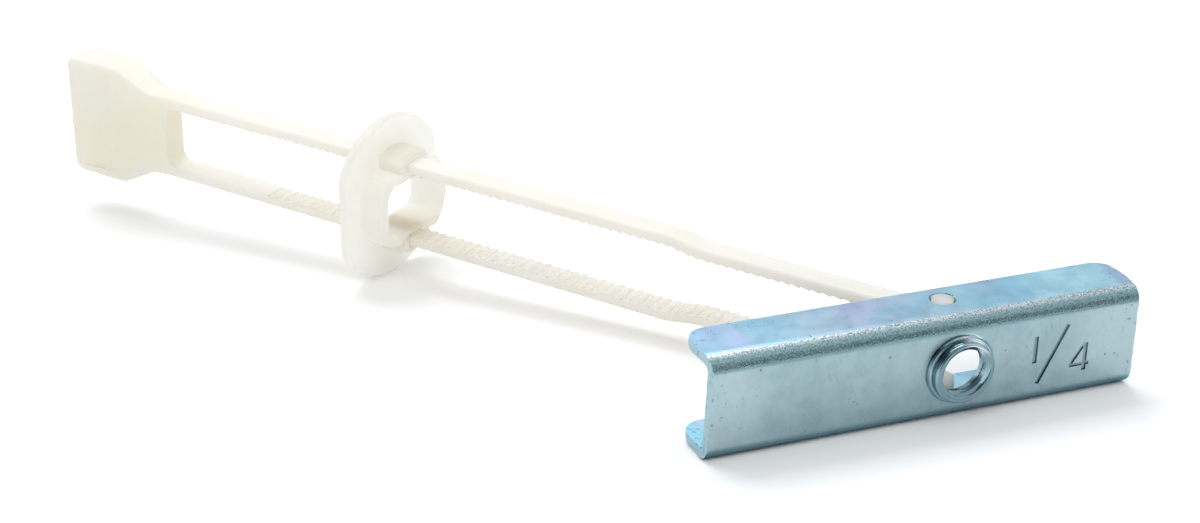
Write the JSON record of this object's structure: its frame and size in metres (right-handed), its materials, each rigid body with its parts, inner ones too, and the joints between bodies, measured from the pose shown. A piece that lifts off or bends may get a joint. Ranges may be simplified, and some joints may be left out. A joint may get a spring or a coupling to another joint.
{
  "type": "flip toggle bolt",
  "caption": "Flip toggle bolt: zinc-plated steel channel with a 1/4-20 threaded collar, swinging on a toothed cream nylon pull strap, with a white ratchet cap.",
  "frame": {"origin": "on the threaded hole's axis, where it crosses the outer face of the channel's web", "axes": "+Y along the threaded hole, the way the bolt leaves; +X along the channel towards its shorter arm; +Z along the flip axis, up as the part lies"},
  "size_m": [0.0921, 0.1, 0.0192],
  "materials": {
    "zinc_plated_steel": "bright zinc plating with a blue passivate, lightly scratched",
    "strap_nylon": "satin moulded nylon",
    "cap_nylon": "semi-gloss, slightly translucent moulded nylon"
  },
  "bodies": {
    "channel": {"toggle_channel": "zinc_plated_steel"},
    "strap": {"pull_strap": "strap_nylon"},
    "cap": {"ratchet_cap": "cap_nylon"}
  },
  "joints": [
    {"name": "strap_flip", "type": "hinge", "parent": "channel", "child": "strap", "pos_m": [0, 0.00449, 0], "axis": [0, 0, 1], "range_deg": [-127, 53]},
    {"name": "cap_slide", "type": "slide", "parent": "strap", "child": "cap", "axis": [-0.6018, 0.7986, 0], "range_m": [-0.0339, 0.03]}
  ]
}
